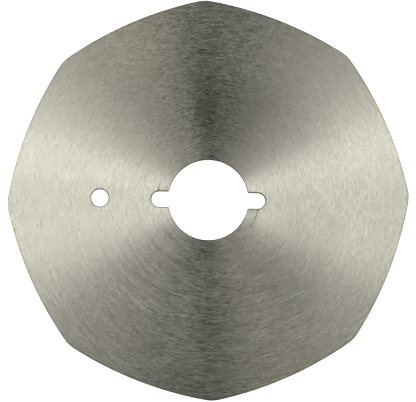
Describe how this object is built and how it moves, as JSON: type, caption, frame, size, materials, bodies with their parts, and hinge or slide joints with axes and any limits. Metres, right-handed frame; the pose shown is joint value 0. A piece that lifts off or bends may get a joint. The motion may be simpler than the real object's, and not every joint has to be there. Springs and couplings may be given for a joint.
{
  "type": "rotary cutter blade",
  "caption": "Flat polygonal rotary cutter blade with convex sides, rounded points, a central bore with key slots, a locating hole and a single-sided bevel.",
  "frame": {"origin": "on the bore's axis, in the plane of the lower face that the blade lies on", "axes": "+Z along the bore's axis, from the bevelled side to the flat side with the cutting edge; X along the key slots, with the locating hole on the -X side"},
  "size_m": [0.09, 0.09, 0.001],
  "materials": {
    "ground_steel": "ground in circles round the bore, satin, bare metal"
  },
  "bodies": {
    "root": {"blade": "ground_steel"}
  },
  "joints": []
}
